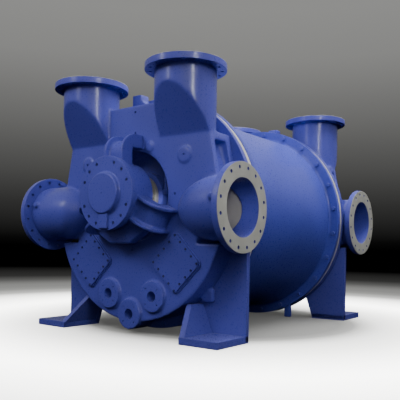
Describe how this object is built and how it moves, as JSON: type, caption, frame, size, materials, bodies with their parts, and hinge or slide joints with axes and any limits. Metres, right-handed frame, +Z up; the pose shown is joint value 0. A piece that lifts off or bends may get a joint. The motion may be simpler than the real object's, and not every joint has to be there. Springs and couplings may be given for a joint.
{
  "type": "liquid ring vacuum pump",
  "caption": "Liquid ring vacuum pump with a round casing between mirrored heads, flanged top and side nozzles, outboard bearings on bracket arms, a keyed shaft end and cast feet.",
  "frame": {"origin": "on the floor under the middle of the whole pump, shaft end included", "axes": "+X to the right of someone facing the blank bearing cover at the non-drive end, +Y along the shaft from the non-drive end to the drive end, +Z up"},
  "size_m": [1.934, 2.962, 1.915],
  "materials": {
    "blue_paint": "semi-gloss machine enamel on cast iron",
    "bare_iron": "machined and unpainted",
    "bright_steel": "ground",
    "bronze": "turned"
  },
  "bodies": {
    "housing": {"casing": "blue_paint", "front_bearing_bracket": "blue_paint", "front_bearing_cover": "blue_paint", "front_head": "blue_paint", "front_left_cover_plate": "blue_paint", "front_left_foot": "blue_paint", "front_packing_gland": "bare_iron", "front_port_plate": "bare_iron", "front_right_cover_plate": "blue_paint", "front_right_foot": "blue_paint", "front_stuffing_box": "blue_paint", "rear_bearing_bracket": "blue_paint", "rear_bearing_cover": "blue_paint", "rear_head": "blue_paint", "rear_left_cover_plate": "blue_paint", "rear_left_foot": "blue_paint", "rear_packing_gland": "bare_iron", "rear_port_plate": "bare_iron", "rear_right_cover_plate": "blue_paint", "rear_right_foot": "blue_paint", "rear_stuffing_box": "blue_paint"},
    "rotor": {"shaft": "bright_steel", "drive_key": "bright_steel", "front_shaft_sleeve": "bronze", "rear_shaft_sleeve": "bronze"}
  },
  "joints": [
    {"name": "shaft_turn", "type": "hinge", "parent": "housing", "child": "rotor", "pos_m": [0, 0, 1.018], "axis": [0, 1, 0], "continuous": true}
  ]
}
